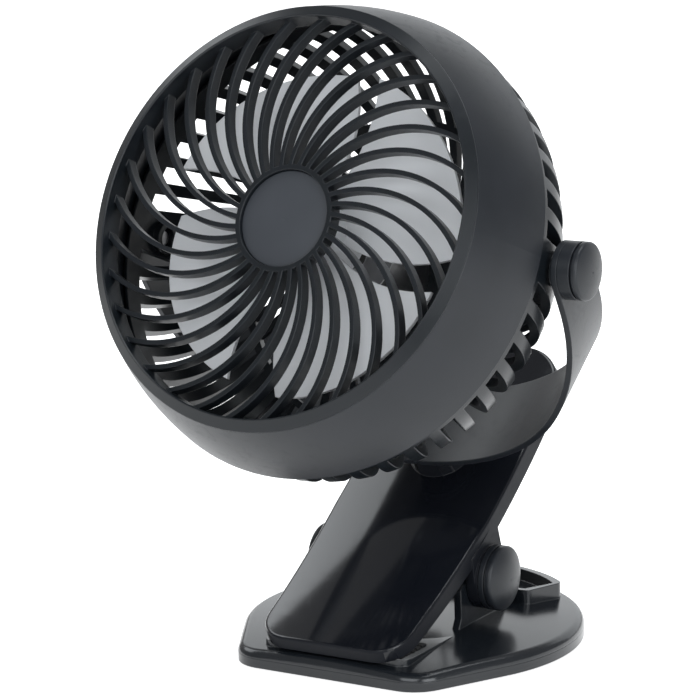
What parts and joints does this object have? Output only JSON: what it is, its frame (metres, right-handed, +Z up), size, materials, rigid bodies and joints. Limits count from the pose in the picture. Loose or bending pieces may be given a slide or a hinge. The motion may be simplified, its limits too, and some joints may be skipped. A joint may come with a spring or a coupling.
{
  "type": "clip-on fan",
  "caption": "Small tabletop fan with a spiral front grille, held in a U-shaped yoke on a spring clip whose lower jaw is a round weighted base.",
  "frame": {"origin": "centre of the round base on the surface it stands on", "axes": "+Z up, -Y towards the front of the fan and the mouth of the clip, +X to the fan's left as it faces forward"},
  "size_m": [0.2176, 0.2055, 0.2683],
  "materials": {
    "charcoal": "satin",
    "gloss_charcoal": "gloss",
    "cap_grey": "satin",
    "blade_grey": "satin",
    "rubber": "matt",
    "steel": "satin",
    "iron": "rough",
    "bearing_brass": "satin"
  },
  "bodies": {
    "base": {"base_shell": "charcoal", "base_plate": "charcoal", "sole_pad": "rubber", "ballast_weight": "iron", "base_screws": "steel", "lower_jaw_pad": "rubber", "hinge_pin": "steel", "right_hinge_cap": "charcoal", "left_hinge_cap": "charcoal", "torsion_spring": "steel"},
    "arm": {"upper_jaw": "gloss_charcoal", "upper_jaw_pad": "rubber"},
    "yoke": {"yoke": "charcoal", "right_pivot_collar": "charcoal", "left_pivot_collar": "charcoal", "right_pivot_knob": "charcoal", "left_pivot_knob": "charcoal", "right_pivot_pin": "steel", "left_pivot_pin": "steel", "right_friction_washer": "rubber", "left_friction_washer": "rubber", "swivel_pin": "steel", "swivel_washer": "steel", "swivel_nut": "steel"},
    "head": {"shroud": "charcoal", "front_grille": "charcoal", "hub_cap": "cap_grey", "rear_grille": "charcoal", "motor_can": "steel", "front_bearing": "bearing_brass", "rear_bearing": "bearing_brass", "motor_screws": "steel", "motor_cover": "charcoal", "cover_screws": "steel", "cord_gland": "rubber", "switch_bezel": "gloss_charcoal", "right_pivot_bush": "charcoal", "left_pivot_bush": "charcoal"},
    "rotor": {"fan_blade": "blade_grey", "motor_shaft": "steel", "blade_nut": "charcoal"},
    "rocker": {"switch_rocker": "gloss_charcoal"}
  },
  "joints": [
    {"name": "clip_open", "type": "hinge", "parent": "base", "child": "arm", "pos_m": [0, 0.0003, 0.0299], "axis": [-1, 0, 0], "range_deg": [0, 28], "stiffness_Nm_per_rad": 1, "springref_deg": -45.84, "deforming": ["torsion_spring"]},
    {"name": "yoke_swivel", "type": "hinge", "parent": "arm", "child": "yoke", "pos_m": [0, -0.04445, 0.16967], "axis": [0, -0.592, 0.8059], "range_deg": [-90, 90]},
    {"name": "head_tilt", "type": "hinge", "parent": "yoke", "child": "head", "pos_m": [0, -0.04445, 0.16967], "axis": [-1, 0, 0], "range_deg": [-70, 70]},
    {"name": "fan_spin", "type": "hinge", "parent": "head", "child": "rotor", "pos_m": [0, -0.04445, 0.16967], "axis": [0, -0.9092, 0.4163], "continuous": true},
    {"name": "switch_rock", "type": "hinge", "parent": "head", "child": "rocker", "pos_m": [0, 0.00192, 0.14844], "axis": [-1, 0, 0], "range_deg": [-8, 8]}
  ]
}
